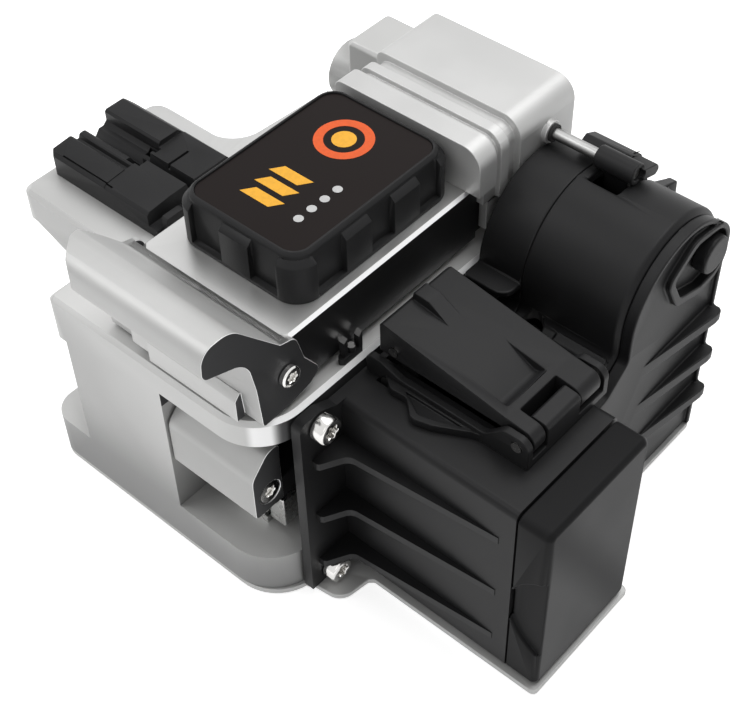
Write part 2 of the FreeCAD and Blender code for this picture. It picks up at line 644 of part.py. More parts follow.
def make_collector():
    wall = size("housing_wall")
    y = size("axis_y")
    z = size("axis_z")
    seam = size("cover_left")
    front = Piece("collector_front_housing")
    front.pad("X", "housing_left", "housing_seam", drum_outline(0.0, 1.3))
    front.pad("Z", 40.9, 42.0, [(14.2, 7.3, 0.5), (22.4, 7.3, 2.4), (22.4, 12.6), (14.2, 12.6)])
    front.pocket("X", 15.8, 23.0, drum_outline(wall, 2.9))
    front.pocket("Y", 8.0, 14.0, ring(size("roller_x"), size("roller_z"), 1.6, 16))
    front.pad("X", 15.7, 17.2, ring(24.0, size("roller_z"), 2.2, 16))
    front.pocket("X", 14.0, 17.5, ring(24.0, size("roller_z"), 1.02))
    main = Piece("collector_main_housing")
    main.pad("X", "housing_seam", "cover_left", drum_outline(0.0, 1.3))
    main.dress("Chamfer", 0.8, lambda e, m: near(m.x, seam) and m.z > 2)
    main.pad("X", 30.2, 39.4, [(8.6, 34.0), (8.6, 36.5, 0.8), (12.6, 37.6), (12.6, 34.0)])
    main.pocket("X", 22.0, 41.0, drum_outline(wall, 2.9))
    main.pocket("Z", 43.0, 60.0, rect(24.2, 24.0, 29.6, 40.0))
    main.pad("X", 30.2, 31.8, [(20.5, 36.0), (38.0, 36.0), (38.0, 50.0), (30.0, 53.0), (20.5, 50.0)])
    main.pocket("X", 30.0, 32.0, ring(y, z, 1.53, 16))
    main.pocket("X", 30.0, 32.0, ring(24.0, size("roller_z"), 1.02))
    main.pad("Z", 28.5, 34.4, ring(25.9, 9.5, 2.2, 20))
    main.pocket("Z", 34.4, 38.4, ring(25.9, 9.5, 1.9, 20))
    main.pocket("Z", 29.5, 36.0, ring(25.9, 9.5, 0.83))
    cover = Piece("collector_end_cover")
    cover.pad("X", "cover_left", 42.2, drum_outline(0.8, 1.3))
    cover.pocket("X", "housing_right", 43.0, drum_outline(1.7, 0.0))
    tear = [(19.8, 47.4, 2.2), (23.4, 40.4, 3.0), (30.0, 38.3, 3.5), (37.0, 39.2, 4.5), (37.0, 50.0, 5.6), (26.2, 52.0, 4.0)]
    cover.pad("X", 41.0, 42.6, tear)
    inner = [(21.6, 46.9, 1.4), (24.3, 41.8, 2.2), (30.2, 39.9, 2.6), (35.9, 40.4, 3.2), (35.9, 49.4, 4.4), (27.0, 50.6, 3.0)]
    cover.pocket("X", 40.9, 43.0, inner)
    cover.pocket("X", 40.0, 43.0, ring(y, z, 1.53, 16))
    for level in (29.3, 20.2, 11.1):
        rib = [(41.2, 16.0), (43.9, 35.6, 0.8), (43.8, 37.3, 0.5), (41.2, 37.3)]
        cover.pad("Z", level - 1.1, level + 1.1, rib)
    solid_node("housing_screw", [screw((25.9, 9.5, 34.42), (0, 0, 1), 1.5, 1.2, 0.8, 3.5, 0.8)])


def teeth(x, y, tip, root, count, start):
    """The outline of a spur gear with tapered teeth."""
    step = 2 * math.pi / count
    corners = []
    for i in range(count):
        for part, radius in ((0.10, root), (0.32, tip), (0.58, tip), (0.80, root)):
            angle = start + (i + part) * step
            corners.append((x + radius * math.cos(angle), y + radius * math.sin(angle)))
    return corners


def make_feed():
    y = size("axis_y")
    z = size("axis_z")
    arm = Piece("drive_arm")
    tube = ring(size("rod_y"), size("rod_z"), 1.8, 20)
    arm.pad("X", 23.3, 30.3, tube)
    top = size("drum_z") + size("drum_radius")
    web = [(y - 3.4, z), (y + 3.4, z), (32.4, top + 0.3, 0.6), (27.0, top + 1.5, 0.6)]
    arm.pad("X", 24.8, 29.0, web)
    arm.pad("X", 24.8, 29.0, ring(y, z, 3.35, 20))
    lobe = [(29.4, top - 0.3), (33.4, top - 2.1, 0.8), (33.8, top + 0.5, 1.2), (29.9, top + 2.3, 0.8)]
    arm.pad("X", 18.8, 27.5, lobe)
    clip = [(28.6, top + 0.3), (33.2, top - 1.1, 0.6), (32.8, top + 1.1, 0.8), (28.6, top + 2.3)]
    arm.pad("X", 26.9, 30.9, clip)
    arm.pocket("X", 23.0, 31.5, ring(size("rod_y"), size("rod_z"), 0.98, 16))
    arm.pocket("X", 24.0, 30.0, ring(y, z, 1.53, 16))
    shaft = Piece("feed_shaft")
    shaft.pad("X", 23.2, 41.0, ring(y, z, 1.48, 20))
    shaft.pad("X", 32.4, 36.4, teeth(y, z, 3.5, 2.9, 9, 0.0))
    knob = Piece("feed_knob")
    knob.pad("X", 41.0, 43.4, ring(y, z, 3.28, 24))
    knob.dress("Chamfer", 0.3, lambda e, m: near(m.x, 43.4))
    transfer = Piece("transfer_gear")
    gy = 24.0
    gz = size("roller_z")
    transfer.pad("X", 15.2, 38.6, (gy, gz, 1.0))
    transfer.pad("X", 32.4, 36.4, teeth(gy, gz, 6.55, 5.9, 18, 0.0))
    transfer.pad("X", 20.6, 22.6, ring(gy, gz, 3.0, 16))
    transfer.dress("Chamfer", 1.6, lambda e, m: near(m.x, 20.6) and math.hypot(m.y - gy, m.z - gz) > 2)
    x = size("roller_x")
    lower = Piece("lower_roller")
    lower.pad("Y", -12.2, -1.0, ring(x, gz, size("roller_radius"), 24))
    lower.pad("Y", -15.6, 21.0, (x, gz, 1.2))
    lower.pad("Y", 20.0, 21.6, ring(x, gz, 2.45, 16))
    lower.dress("Chamfer", 1.1, lambda e, m: near(m.y, 21.6))


def make_rollers():
    x = size("roller_x")
    z = size("roller_z")
    hx = size("hinge_x")
    hz = size("hinge_z")
    nx = x
    nip = size("nip_z")
    bracket = Piece("roller_bracket")
    side = [(14.6, 39.7), (14.6, 43.0, 0.6), (17.4, 43.0, 0.8), (21.0, 41.8, 1.0), (36.5, 41.8, 2.0), (39.6, 45.0, 1.5)]
    side += [(44.1, 45.0, 2.0), (44.1, 39.7)]
    bracket.pad("Y", -15.6, -14.4, side)
    bracket.pad("Y", 2.1, 3.3, side)
    foot = [(14.6, -15.6), (18.2, -15.4, 1.5), (20.4, -17.1, 1.5), (23.4, -16.9, 1.8), (26.3, -19.5, 1.6)]
    foot += [(29.6, -18.6, 2.5), (35.4, -15.6, 4.0), (44.1, -15.6), (44.1, 3.3), (14.6, 3.3)]
    bracket.pad("Z", 39.65, 41.0, foot)
    bracket.pocket("Z", 39.0, 42.0, rect(14.0, -13.0, 37.0, 1.0))
    bracket.pocket("Z", 40.5, 42.0, [(22.6, -16.1), (26.7, -18.3, 0.8), (29.3, -17.6, 0.8), (33.0, -16.0)])
    bracket.pad("Y", -11.2, -3.6, [(40.9, 40.4), (44.1, 40.4), (44.1, 45.0, 1.0), (40.9, 45.3, 0.4)])
    bracket.pocket("Y", -16.0, 4.0, ring(x, z, 1.23, 16), ring(hx, hz, 0.88))
    pin = Piece("flap_hinge_pin")
    pin.pad("Y", -15.7, 3.4, ring(hx, hz, 0.84, 16))
    flap = Piece("roller_flap")
    outer = [(16.0, 43.5), (16.0, 49.4, 0.5), (39.0, 45.7, 2.0), (44.0, 45.1, 1.9), (44.0, 41.1, 1.9), (39.9, 41.1, 0.8),
             (38.5, 43.3, 0.8)]
    flap.pad("Y", "flap_front", "flap_back", outer)
    rib = [(16.3, 49.0), (16.7, 50.6, 0.3), (19.4, 50.4, 0.8), (24.0, 47.9)]
    flap.pad("Y", -7.4, -4.6, rib)
    inner = [(15.0, 40.0), (15.0, 48.1), (26.5, 46.2), (31.0, 43.9), (38.2, 43.0), (38.2, 40.0)]
    flap.pocket("Y", -12.8, 0.1, inner)
    flap.pocket("Y", -12.4, -3.6, [(29.5, 47.5), (36.6, 44.5, 1.2), (38.3, 46.3), (38.3, 48.5), (29.5, 48.5)])
    flap.pocket("Z", 40.0, 48.0, rect(39.4, -11.5, 45.0, -3.3))
    flap.pocket("Y", -15.0, 3.0, ring(nx, nip, 0.83), ring(hx, hz, 0.88))
    upper = Piece("upper_roller")
    upper.pad("Y", -12.2, -1.0, ring(nx, nip, size("nip_radius"), 24), (nx, nip, 0.85))
    nip_pin = Piece("upper_roller_pin")
    nip_pin.pad("Y", -14.2, 1.5, ring(nx, nip, 0.79, 16))


def make_bin():
    shell = Piece("bin_shell")
    front = size("bin_front")
    back = size("bin_back")
    top = size("bin_top")
    low = size("bin_low")
    wall = size("bin_wall")
    outline = rect(front, low, back, top, 1.2)
    shell.pad("X", "bin_left", "bin_seam", outline)
    flange = [(-31.3, low), (back, low), (back, top), (-23.5, top), (-27.0, 41.2, 2), (-31.3, 41.2, 1.5)]
    shell.pad("X", "flange_left", "bin_left", flange)
    inner = rect(front + wall, low + wall, back - wall, top - wall, 0.6)
    shell.pocket("X", "bin_left", 48.5, inner)
    shell.pocket("Z", 36.0, 40.5, rect(15.3, -12.6, 37.0, -0.65))
    shell.pocket("Y", -16.3, 2.0, rect(17.1, 37.6, 20.1, 41.0))
    for x, y, z in screw_places()["flange"]:
        shell.pocket("X", 13.5, 17.0, ring(y, z, 1.35))
    rib = [(15.9, -29.4), (17.2, -29.4, 0.5), (19.5, -25.2, 2.0), (45.0, -22.7), (45.0, -22.3), (15.9, -22.3)]
    for level in (31.6, 18.9, 7.4):
        shell.pad("Z", level - 0.7, level + 0.7, rib)
    drawer = Piece("bin_drawer")
    drawer.pad("X", 47.9, "bin_right", rect(front, low, back, top - 0.3, 1.4))
    drawer.pad("X", 16.8, 48.0, rect(-20.9, 3.1, -0.8, 34.4, 0.5))
    drawer.pocket("Z", 4.3, 36.0, rect(18.0, -19.7, 46.8, -2.0, 0.8))
    drawer.dress("Chamfer", 0.7, lambda e, m: near(m.x, 53.5))
    drawer.pocket("Y", front - 1, front + 0.7, (57.4, 18.8, 10.0))
    items = []
    for x, y, z in screw_places()["flange"]:
        items.append(screw((x + 0.02, y, z), (1, 0, 0), 2.25, 2.4, 1.25, 8.6, 1.15))
    solid_node("flange_screws", items)


make_base_frame()
make_bottom_plate()
make_feet()
make_plate_screws()
make_deck_pieces()
make_slide()
make_hinge()
make_adapter()
make_lever()
make_latch()
make_collector()
make_feed()
make_rollers()
make_bin()
doc.recompute()

os.makedirs("parts", exist_ok=True)
shift = V(size("shift_x"), size("shift_y"), 0)
for item in made:
    item.Placement = FreeCAD.Placement(shift, FreeCAD.Rotation())
doc.recompute()
faults = []
for item in doc.Objects:
    if "Invalid" in item.State or "Error" in item.State:
        faults.append(item.Name)
for item in made:
    shape = item.Shape
    if shape.isNull() or not shape.isValid() or not shape.Solids:
        faults.append(item.Label + " shape")
if faults:
    raise RuntimeError("bad objects: " + ", ".join(faults))
for item in made:
    item.Shape.exportStep("parts/%s.step" % item.Label)
    box = item.Shape.BoundBox
    print("%-24s solids %d  vol %9.2f  x %.1f %.1f  y %.1f %.1f  z %.1f %.1f" % (
        item.Label, len(item.Shape.Solids), item.Shape.Volume,
        box.XMin, box.XMax, box.YMin, box.YMax, box.ZMin, box.ZMax))
print("nodes", len(made))
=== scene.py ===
import math

import bmesh
import bpy
from mathutils import Matrix, Vector


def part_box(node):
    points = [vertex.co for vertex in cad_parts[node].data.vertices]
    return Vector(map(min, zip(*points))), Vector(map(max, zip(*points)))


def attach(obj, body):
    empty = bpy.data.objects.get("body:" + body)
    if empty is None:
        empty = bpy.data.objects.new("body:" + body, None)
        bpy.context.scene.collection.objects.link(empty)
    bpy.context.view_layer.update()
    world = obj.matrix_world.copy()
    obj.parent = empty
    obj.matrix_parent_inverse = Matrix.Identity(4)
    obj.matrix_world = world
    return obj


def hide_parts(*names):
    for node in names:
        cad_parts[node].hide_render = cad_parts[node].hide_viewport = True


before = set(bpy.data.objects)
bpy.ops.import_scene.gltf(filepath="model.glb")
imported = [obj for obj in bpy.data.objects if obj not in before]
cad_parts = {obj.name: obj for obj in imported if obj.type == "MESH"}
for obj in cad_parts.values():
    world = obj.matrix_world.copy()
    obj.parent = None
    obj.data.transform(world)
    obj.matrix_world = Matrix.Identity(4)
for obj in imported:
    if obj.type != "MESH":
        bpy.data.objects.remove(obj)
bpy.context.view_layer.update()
MM = 0.001
EDGE_ANGLE = math.radians(30.0)
ONE_PLANE = 0.006
WELD = 2e-6


# Cast frame and the plates screwed to it: aluminium castings with
# bead-blasted faces and milled edges. The finish and the way that every
# casting is dressed are made here, where they are first needed.

class Wire:
    """A value in a material's node tree that can be used in plain sums."""

    def __init__(self, tree, socket):
        self.tree = tree
        self.socket = socket

    def node(self, kind, settings, inputs, output=0):
        """Any node: its settings first, then its sockets, linked or set."""
        made = self.tree.nodes.new(kind)
        for name, value in settings.items():
            if name == "stops":
                ramp = made.color_ramp
                while len(ramp.elements) < len(value):
                    ramp.elements.new(0.5)
                for element, (place, colour) in zip(ramp.elements, value):
                    element.position = place
                    element.color = (*colour, 1.0)
            else:
                setattr(made, name, value)
        for name, value in inputs.items():
            target = made.inputs[name]
            if isinstance(value, Wire):
                self.tree.links.new(value.socket, target)
            else:
                target.default_value = value
        return Wire(self.tree, made.outputs[output])

    def sum(self, operation, first, second):
        return self.node("ShaderNodeMath", {"operation": operation}, {0: first, 1: second})

    def __add__(self, other):
        return self.sum("ADD", self, other)

    def __radd__(self, other):
        return self.sum("ADD", other, self)

    def __sub__(self, other):
        return self.sum("SUBTRACT", self, other)

    def __rsub__(self, other):
        return self.sum("SUBTRACT", other, self)

    def __mul__(self, other):
        return self.sum("MULTIPLY", self, other)

    def __rmul__(self, other):
        return self.sum("MULTIPLY", other, self)

    def __gt__(self, other):
        return self.sum("GREATER_THAN", self, other)

    def smooth(self, low, high):
        settings = {"interpolation_type": "SMOOTHSTEP"}
        inputs = {"Value": self, "From Min": low, "From Max": high}
        return self.node("ShaderNodeMapRange", settings, inputs)

    def mix(self, first, second):
        """This value as the share of the second colour in the first."""
        inputs = {"Factor": self, 6: first, 7: second}
        return self.node("ShaderNodeMix", {"data_type": "RGBA"}, inputs, output=2)

    def axis(self, name):
        return self.node("ShaderNodeSeparateXYZ", {}, {"Vector": self}, output=name)


def new_finish(name):
    """A bare material: its principled shader, and a wire to place on it."""
    material = bpy.data.materials.new(name)
    material.use_nodes = True
    tree = material.node_tree
    shader = tree.nodes["Principled BSDF"]
    place = tree.nodes.new("ShaderNodeTexCoord")
    return material, shader, Wire(tree, place.outputs["Object"])


def noise(place, scale, detail=2.0, roughness=0.5):
    inputs = {"Vector": place, "Scale": scale, "Detail": detail, "Roughness": roughness}
    return place.node("ShaderNodeTexNoise", {}, inputs)


def rubbed_edges(place, width, sharpness):
    """Where the surface turns: 1 on the outer edges, 0 on the flats."""
    point = place.node("ShaderNodeNewGeometry", {}, {}, output="Pointiness")
    return point.smooth(0.5 + width, 0.5 + width + sharpness)


def link(shader, name, wire):
    wire.tree.links.new(wire.socket, shader.inputs[name])


def raise_bump(shader, place, height, strength, distance):
    inputs = {"Height": height, "Strength": strength, "Distance": distance}
    link(shader, "Normal", place.node("ShaderNodeBump", {}, inputs))


def cast_aluminium(name, colour, low_rough, high_rough, shade_right_above=None,
                   metallic=0.5, foot_shade=0.0):
    """Bead-blasted casting: fine grain, faint clouding, brighter rubbed edges.

    Above a given height the right-hand ends get painted shade, with a band of painted highlight
    over them; the last argument paints shade on the upright faces toward the bench."""
    material, shader, place = new_finish(name)
    grain = noise(place, 5200.0, 3.0)
    cloud = noise(place, 70.0, 3.0)
    edge = rubbed_edges(place, 0.02, 0.08)
    darker = tuple(0.93 * c for c in colour) + (1.0,)
    tone = cloud.smooth(0.35, 0.7).mix(darker, (*colour, 1.0))
    tone = (edge * 0.4).mix(tone, (0.78, 0.78, 0.77, 1.0))
    facing = place.node("ShaderNodeTexCoord", {}, {}, output="Normal")
    # Painted shade: upright faces near the bench are darkened toward black.
    if foot_shade:
        rise = place.axis("Z").smooth(0.0, 0.026)
        upright = 1.0 - facing.axis("Z").smooth(0.2, 0.9)
        tone = ((1.0 - rise) * upright * foot_shade).mix(tone, (0.12, 0.12, 0.12, 1.0))
    # Painted shade on the faces turned to the right above the given height, and a painted
    # highlight band on the chamfers between them and the lit faces.
    if shade_right_above is not None:
        height = place.axis("Z") > shade_right_above * MM
        toward_x = facing.axis("X") * height
        end = toward_x.smooth(0.82, 0.93)
        tone = (toward_x.smooth(0.5, 0.64) - end).mix(tone, (0.96, 0.96, 0.96, 1.0))
        tone = end.mix(tone, (0.05, 0.05, 0.052, 1.0))
    link(shader, "Base Color", tone)
    link(shader, "Roughness", low_rough + (high_rough - low_rough) * cloud - edge * 0.06)
    raise_bump(shader, place, grain, 0.12, 0.00004)
    shader.inputs["Metallic"].default_value = metallic
    return material


def shade_smooth(mesh, angle=EDGE_ANGLE):
    """Smooth shading that breaks where the surface turns by more than 'angle'."""
    for polygon in mesh.polygons:
        polygon.use_smooth = True
    mesh.set_sharp_from_angle(angle=angle)


def flat_regions(form):
    """Each face's coplanar region, as a number, and each region's mean width."""
    region, widths = {}, []
    for face in form.faces:
        if face in region:
            continue
        region[face] = len(widths)
        stack, area, spots = [face], 0.0, []
        while stack:
            one = stack.pop()
            area += one.calc_area()
            spots += [vert.co for vert in one.verts]
            for other in (f for edge in one.edges for f in edge.link_faces):
                if other not in region and one.normal.angle(other.normal, 0.0) < ONE_PLANE:
                    region[other] = len(widths)
                    stack.append(other)
        spans = [max(s[k] for s in spots) - min(s[k] for s in spots) for k in range(3)]
        widths.append(area / max(Vector(spans).length, 1e-9))
    return region, widths


def part_flats_from_rounds(form):
    """Sharp edges where a wide flat meets a round, so that the flat shades flat."""
    least_turn = 0.01
    much_wider = 2.5
    form.normal_update()
    region, widths = flat_regions(form)
    for face in form.faces:
        face.smooth = True
    for edge in form.edges:
        if len(edge.link_faces) == 2:
            turn = edge.calc_face_angle(0.0)
            narrow, wide = sorted(widths[region[face]] for face in edge.link_faces)
            meets_round = turn > least_turn and wide > much_wider * narrow
            edge.smooth = not (turn > EDGE_ANGLE or meets_round)


def dressed(node, body, finish, bevel, merge=True):
    """The casting or moulding of a node with its edges broken by a small radius.

    'bevel' is that radius in mm; 0 keeps the edges of the CAD. 'merge' joins
    the triangles of one plane before the edges are broken."""
    mesh = bpy.data.meshes.new(node + "_form")
    form = bmesh.new()
    form.from_mesh(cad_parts[node].data)
    bmesh.ops.remove_doubles(form, verts=form.verts, dist=WELD)
    if merge:
        bmesh.ops.dissolve_limit(form, angle_limit=math.radians(0.6), verts=form.verts,
                                 edges=form.edges)
        bmesh.ops.dissolve_degenerate(form, dist=WELD, edges=form.edges)
    if not bevel:
        part_flats_from_rounds(form)
    form.to_mesh(mesh)
    form.free()
    if bevel:
        shade_smooth(mesh)
    piece = bpy.data.objects.new(node + "_dressed", mesh)
    bpy.context.scene.collection.objects.link(piece)
    mesh.materials.clear()
    mesh.materials.append(finish)
    if bevel:
        edge = piece.modifiers.new("edge_break", "BEVEL")
        edge.width = bevel * MM
        edge.segments = 2
        edge.limit_method = "ANGLE"
        edge.angle_limit = EDGE_ANGLE
        edge.harden_normals = True
        edge.use_clamp_overlap = False
        edge.miter_outer = "MITER_ARC"
    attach(piece, body)
    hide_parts(node)


def paint(node, finish):
    """A node whose own shape is right gets its finish."""
    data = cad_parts[node].data
    data.materials.clear()
    data.materials.append(finish)


def paint_above(node, low_finish, high_finish, level):
    """Two finishes on one node: the faces above the level get the second."""
    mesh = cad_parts[node].data
    paint(node, low_finish)
    mesh.materials.append(high_finish)
    for polygon in mesh.polygons:
        lowest = min(mesh.vertices[i].co.z for i in polygon.vertices)
        polygon.material_index = int(lowest > level * MM)


blasted = cast_aluminium("blasted_aluminium", (0.52, 0.52, 0.515), 0.46, 0.60)
milled = cast_aluminium("milled_aluminium", (0.56, 0.56, 0.555), 0.42, 0.54)
# The frame, lip and push bar get painted shade on their right-hand faces; the frame also gets
# painted shade at its foot.
frame_body = cast_aluminium("frame_aluminium", (0.49, 0.49, 0.485), 0.46, 0.60,
                            shade_right_above=34.0, foot_shade=0.78)
lip_body = cast_aluminium("lip_aluminium", (0.50, 0.50, 0.495), 0.46, 0.56,
                          shade_right_above=0.0, metallic=0.6)
bar_body = cast_aluminium("push_bar_aluminium", (0.42, 0.42, 0.415), 0.42, 0.52,
                          shade_right_above=0.0, metallic=0.6)
hinge_body = cast_aluminium("hinge_aluminium", (0.40, 0.40, 0.395), 0.44, 0.56)
# The lever plate's finish paints its right-hand end in shade under a painted highlight band.
painted_shade_aluminium = cast_aluminium("painted_shade_end_aluminium", (0.58, 0.58, 0.575), 0.30, 0.42,
                           shade_right_above=0.0, metallic=0.75)
dressed("base_frame", "base", frame_body, 0.0, merge=False)
dressed("bottom_plate", "base", blasted, 0.15)
dressed("hinge_bracket", "base", hinge_body, 0.25)
dressed("hinge_post", "base", hinge_body, 0.25)


# Clamp lever: a machined plate with its knuckle, the front lip that holds
# it down, and the rear cover with its two grooves over the hinge.

dressed("lever_plate", "lever", painted_shade_aluminium, 0.0, merge=False)
dressed("latch_lip", "latch", lip_body, 0.15)
dressed("rear_cover", "lever", milled, 0.15)


# Blade carriage: the push bar across the window, its block on the rail,
# the wheel holder and the thin scoring wheel itself.

def turned_steel(name, colour, rough):
    """Turned or ground steel: fine lines of the tool, few scratches."""
    material, shader, place = new_finish(name)
    lines = noise(place, 900.0, 4.0)
    smear = noise(place, 140.0, 2.0)
    darker = tuple(0.8 * c for c in colour) + (1.0,)
    link(shader, "Base Color", smear.smooth(0.3, 0.7).mix(darker, (*colour, 1.0)))
    link(shader, "Roughness", rough + 0.14 * lines)
    raise_bump(shader, place, lines, 0.08, 0.00003)
    shader.inputs["Metallic"].default_value = 1.0
    return material


steel = turned_steel("ground_steel", (0.62, 0.62, 0.61), 0.2)
bright = turned_steel("plated_steel", (0.86, 0.85, 0.83), 0.08)
carbide = turned_steel("carbide", (0.42, 0.42, 0.43), 0.12)
dressed("push_bar", "carriage", bar_body, 0.2)
dressed("slide_block", "carriage", steel, 0.3)
paint("blade_wheel", carbide)
for node in ("slide_rail", "carriage_spring", "lever_spring", "anvil_spring", "anvil"):
    paint(node, steel)
for node in ("magnet_keeper", "closing_magnet", "lever_axle", "feed_shaft"):
    paint(node, steel)


# Screws that show: turned heads with a six-lobed socket, zinc plated. Each
# set is cut as one piece from the same turned outline.

def lobed(radius, angle):
    return radius * (1.0 + 0.16 * math.cos(6 * angle))


def turned_screw(form, under_head, outward, outline, socket, depth, shank):
    """One screw: 'outline' is the head's (radius, height) from its seat up."""
    around = 48
    axis = Vector(outward).normalized()
    side = axis.orthogonal().normalized()
    across = axis.cross(side)
    seat = Vector(under_head)
    steps = [(shank[0], -shank[1], False), (shank[0], 0.0, False)]
    steps += [(radius, height, False) for radius, height in outline]
    top = outline[-1][1]
    steps += [(socket * 1.06, top, True), (socket, top - 0.08, True)]
    steps += [(socket * 0.94, top - depth, True)]
    rings = []
    for radius, height, star in steps:
        ring = []
        for k in range(around):
            angle = 2 * math.pi * k / around
            reach = lobed(radius, angle) if star else radius
            spot = side * (reach * math.cos(angle)) + across * (reach * math.sin(angle))
            ring.append(form.verts.new(seat + (spot + axis * height) * MM))
        rings.append(ring)
    for low, high in zip(rings, rings[1:]):
        for k in range(around):
            j = (k + 1) % around
            form.faces.new((low[k], low[j], high[j], high[k]))
    form.faces.new(list(reversed(rings[0])))
    form.faces.new(rings[-1])


def screw_set(node, body, places, outward, outline, socket, depth, shank):
    """All the screws of a node: 'outward' gives a place's axis, 'shank' is (radius, length)."""
    mesh = bpy.data.meshes.new(node + "_turned")
    form = bmesh.new()
    for spot in places:
        turned_screw(form, spot, outward(spot), outline, socket, depth, shank)
    bmesh.ops.recalc_face_normals(form, faces=form.faces)
    form.to_mesh(mesh)
    form.free()
    shade_smooth(mesh, math.radians(32.0))
    mesh.materials.append(bright)
    piece = bpy.data.objects.new(node + "_turned", mesh)
    bpy.context.scene.collection.objects.link(piece)
    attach(piece, body)
    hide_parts(node)


def middle(node):
    """The middle of a node's box, and the box's two corners."""
    low, high = (Vector(corner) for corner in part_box(node))
    return (low + high) / 2, low, high


def flange_screws():
    _, low, high = middle("flange_screws")
    radius, tall = 2.25, 2.4
    seat_x = high.x - tall * MM
    lower = Vector((seat_x, high.y - radius * MM, low.z + radius * MM))
    upper = Vector((seat_x, low.y + radius * MM, high.z - radius * MM))
    head = [(2.0, 0.0), (radius, 0.2), (radius, 2.05), (2.12, 2.28), (1.9, tall)]
    screw_set("flange_screws", "base", [lower, upper], lambda spot: (1, 0, 0), head,
              1.15, 1.4, (1.22, 8.4))


def latch_screws():
    centre, low, high = middle("latch_screws")
    tall = 1.0
    right = Vector((high.x - tall * MM, centre.y, centre.z))
    left = Vector((low.x + tall * MM, centre.y, centre.z))
    head = [(1.6, 0.0), (1.75, 0.12), (1.75, 0.75), (1.62, 0.93), (1.45, tall)]
    screw_set("latch_screws", "lever", [right, left],
              lambda spot: (spot.x - centre.x, 0, 0), head, 0.85, 0.6, (0.78, 5.8))


def housing_screw():
    centre, _, high = middle("housing_screw")
    tall = 1.2
    seat = Vector((centre.x, centre.y, high.z - tall * MM))
    head = [(1.35, 0.0), (1.5, 0.12), (1.5, 0.95), (1.38, 1.13), (1.2, tall)]
    screw_set("housing_screw", "base", [seat], lambda spot: (0, 0, 1), head,
              0.75, 0.7, (0.78, 3.3))


def push_bar_screw():
    centre, _, high = middle("push_bar_screw")
    tall = 0.95
    seat = Vector((high.x - tall * MM, centre.y, centre.z))
    head = [(1.0, 0.0), (1.88, 0.86), (1.92, tall)]
    screw_set("push_bar_screw", "carriage", [seat], lambda spot: (1, 0, 0), head,
              0.95, 0.7, (0.95, 6.8))


flange_screws()
latch_screws()
housing_screw()
push_bar_screw()
paint("drive_rod", turned_steel("dull_steel", (0.40, 0.40, 0.395), 0.3))
for node in ("flap_hinge_pin", "upper_roller_pin", "bottom_plate_screws", "rail_screws"):
    paint(node, bright)
for node in ("blade_axle_screw", "adapter_screws", "cap_screws", "cover_screws"):
    paint(node, bright)


# Black mouldings: glass-filled nylon with a fine spark texture, a softer
# black for the cap and the adapter, and rubber for rollers, pads and feet.

def moulded(name, colour, rough, grain_size, depth, shine=0.18):
    """Textured moulding: spark grain, faint flow clouding, rubbed edges.

    'depth' is the strength of the grain, 'shine' the specular level."""
    material, shader, place = new_finish(name)
    grain = noise(place, grain_size, 4.0, 0.6)
    cloud = noise(place, 55.0, 3.0)
    edge = rubbed_edges(place, 0.03, 0.12)
    lighter = tuple(min(1.0, 1.35 * c) for c in colour) + (1.0,)
    worn = tuple(min(1.0, 2.4 * c) for c in colour) + (1.0,)
    tone = cloud.smooth(0.35, 0.7).mix((*colour, 1.0), lighter)
    link(shader, "Base Color", (edge * 0.6).mix(tone, worn))
    link(shader, "Roughness", rough + 0.12 * cloud - edge * 0.1)
    raise_bump(shader, place, grain, depth, 0.00006)
    shader.inputs["Specular IOR Level"].default_value = shine
    return material


nylon = moulded("black_nylon", (0.011, 0.011, 0.0115), 0.40, 4200.0, 0.16)
matt_nylon = moulded("matt_black_nylon", (0.011, 0.011, 0.0115), 0.46, 4200.0, 0.16, shine=0.08)
grip = moulded("grip_black", (0.012, 0.012, 0.0125), 0.46, 3000.0, 0.2)
soft = moulded("black_rubber", (0.012, 0.012, 0.012), 0.62, 2400.0, 0.25)
for node in ("collector_front_housing", "collector_main_housing", "collector_end_cover"):
    dressed(node, "base", nylon, 0.3)
dressed("bin_shell", "base", nylon, 0.0, merge=False)
dressed("bin_drawer", "drawer", matt_nylon, 0.3)
dressed("roller_bracket", "base", nylon, 0.15)
dressed("roller_flap", "flap", nylon, 0.2)
dressed("drive_arm", "arm", nylon, 0.2)
dressed("feed_knob", "feed", nylon, 0.3)
dressed("press_cap", "lever", grip, 0.07, merge=False)
dressed("fibre_adapter", "base", grip, 0.06, merge=False)
dressed("blade_carriage", "carriage", grip, 0.2)
paint("transfer_gear", nylon)
paint_above("tail_guide", nylon, bright, 43.2)
for node in ("lower_clamp_left", "lower_clamp_right", "upper_clamp_left", "upper_clamp_right"):
    paint(node, soft)
for node in ("rubber_feet", "lower_roller", "upper_roller", "rod_seal"):
    paint(node, soft)


# Plate in the top cap: a dark satin sheet with a plain printed design of
# slanted bars, a ring with its disc, and a row of dots.

def plate_finish():
    material, shader, place = new_finish("cap_plate")
    cloud = noise(place, 90.0, 2.0)
    tone = cloud.mix((0.008, 0.0045, 0.004, 1.0), (0.009, 0.0055, 0.005, 1.0))
    link(shader, "Base Color", tone)
    link(shader, "Roughness", 0.3 + 0.06 * cloud)
    shader.inputs["Specular IOR Level"].default_value = 0.12
    return material


paint("cap_badge", plate_finish())


def ink(name, colour):
    """Printing ink: one colour with a faint speckle."""
    material, shader, place = new_finish(name)
    speck = noise(place, 1500.0, 2.0)
    darker = tuple(0.93 * c for c in colour) + (1.0,)
    link(shader, "Base Color", speck.smooth(0.4, 0.6).mix(darker, (*colour, 1.0)))
    link(shader, "Roughness", 0.34 + 0.1 * speck)
    return material


